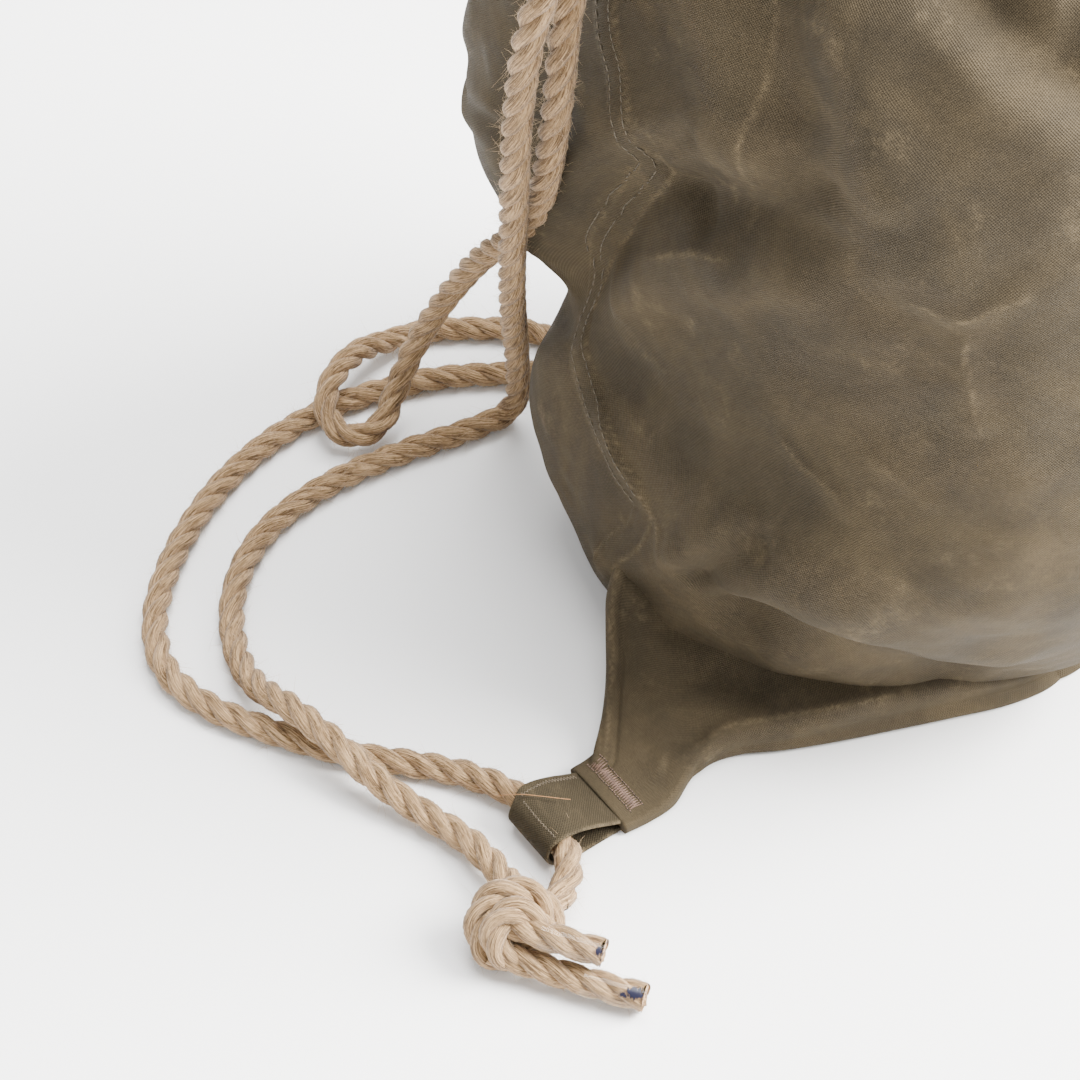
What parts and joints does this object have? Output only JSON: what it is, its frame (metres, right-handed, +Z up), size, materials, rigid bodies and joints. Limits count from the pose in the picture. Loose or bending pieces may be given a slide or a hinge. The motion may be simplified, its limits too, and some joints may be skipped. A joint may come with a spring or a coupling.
{
  "type": "drawstring sack",
  "caption": "Filled waxed-canvas drawstring sack with a drawn neck, corner strap loops and a jute rope that falls to one side and ends in a knot.",
  "frame": {"origin": "on the ground under the middle of the sack, between its bottom corners and midway between its front and back", "axes": "+X to the sack's right-hand bottom corner, -Y out of the front panel, +Z up"},
  "size_m": [0.4708, 0.327, 0.3924],
  "materials": {
    "canvas": "waxed, dull sheen, creased",
    "canvas_seam": "waxed, felled and topstitched",
    "canvas_strap": "waxed, folded strap",
    "thread": "matt sewing thread",
    "jute": "coarse, hairy three-strand jute",
    "clear_tape": "glossy clear tape"
  },
  "bodies": {
    "root": {"front_panel": "canvas", "back_panel": "canvas", "left_side_seam": "canvas_seam", "right_side_seam": "canvas_seam", "bottom_seam": "canvas_seam", "neck_channel_front": "canvas_seam", "neck_channel_back": "canvas_seam", "channel_thread_front": "thread", "channel_thread_back": "thread", "corner_loop_left": "canvas_strap", "corner_loop_right": "canvas_strap", "left_bartack": "thread", "right_bartack": "thread", "neck_rope": "jute", "rope_left_run": "jute", "rope_right_run": "jute", "rope_knot": "jute", "upper_tail": "jute", "lower_tail": "jute", "upper_tape": "clear_tape", "lower_tape": "clear_tape"}
  },
  "joints": []
}
